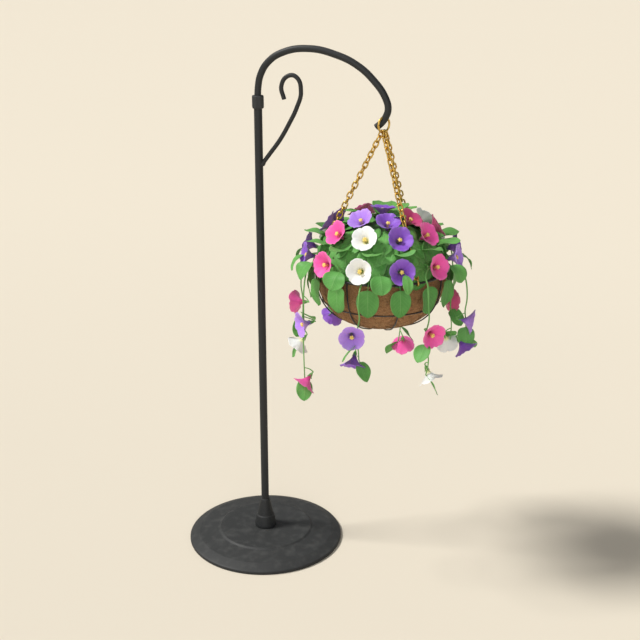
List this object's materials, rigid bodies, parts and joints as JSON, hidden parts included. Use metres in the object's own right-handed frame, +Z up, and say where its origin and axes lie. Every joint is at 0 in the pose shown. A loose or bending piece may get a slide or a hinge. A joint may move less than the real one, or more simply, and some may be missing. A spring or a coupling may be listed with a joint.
{
  "type": "petunia hanging basket on stand",
  "caption": "Wire and coir hanging basket planted with trailing petunias, hung by a ring and chains from a free-standing crook stand with a round cast base.",
  "frame": {"origin": "centre of the flat pad on the underside of the base plate, on the floor, below the pole's axis", "axes": "+Z up along the pole, +X towards the basket"},
  "size_m": [0.8306, 0.5364, 1.438],
  "materials": {
    "cast_iron_black": "satin black paint on cast iron",
    "painted_steel_black": "satin black powder coat",
    "wire_black": "black dipped wire",
    "screw_steel": "plain steel",
    "brass": "lacquered brass",
    "coir": "matted coconut fibre",
    "soil": "damp peat compost",
    "foliage": "soft leaves",
    "leaf_green": "soft leaf and stem",
    "petal_pink": "petal",
    "petal_purple": "petal",
    "petal_lilac": "petal",
    "petal_white": "petal",
    "petal_crimson": "petal"
  },
  "bodies": {
    "stand": {"base_plate": "cast_iron_black", "base_hub": "cast_iron_black", "hub_screw": "screw_steel", "pole": "painted_steel_black", "collar": "cast_iron_black", "collar_screw": "screw_steel", "crook": "painted_steel_black", "scroll": "painted_steel_black", "hanging_ring": "brass"},
    "basket": {"chain_1": "brass", "chain_2": "brass", "chain_3": "brass", "rim_ring": "wire_black", "mid_hoop": "wire_black", "rib_cradle": "wire_black", "coir_liner": "coir", "potting_soil": "soil", "foliage": "foliage", "bloom_low_01": "petal_white", "bloom_low_02": "petal_purple", "bloom_low_03": "petal_pink", "bloom_low_04": "petal_lilac", "bloom_low_05": "petal_purple", "bloom_low_06": "petal_white", "bloom_low_07": "petal_purple", "bloom_low_08": "petal_pink", "bloom_low_09": "petal_white", "bloom_low_10": "petal_purple", "bloom_low_11": "petal_purple", "bloom_low_12": "petal_pink", "bloom_mid_01": "petal_white", "bloom_mid_02": "petal_purple", "bloom_mid_03": "petal_pink", "bloom_mid_04": "petal_crimson", "bloom_mid_05": "petal_white", "bloom_mid_06": "petal_white", "bloom_mid_07": "petal_pink", "bloom_mid_08": "petal_purple", "bloom_mid_09": "petal_purple", "bloom_mid_10": "petal_pink", "bloom_top_1": "petal_lilac", "bloom_top_2": "petal_purple", "bloom_top_3": "petal_crimson", "bloom_top_4": "petal_purple", "bloom_top_5": "petal_crimson", "shoot_1": "leaf_green", "shoot_2": "leaf_green", "shoot_3": "leaf_green", "shoot_4": "leaf_green", "shoot_5": "leaf_green", "shoot_6": "leaf_green", "shoot_7": "leaf_green", "shoot_8": "leaf_green"}
  },
  "joints": [
    {"name": "basket_swing", "type": "hinge", "parent": "stand", "child": "basket", "pos_m": [0.34, 0, 1.22625], "axis": [-0.5299, -0.848, 0], "range_deg": [-18, 18]}
  ]
}
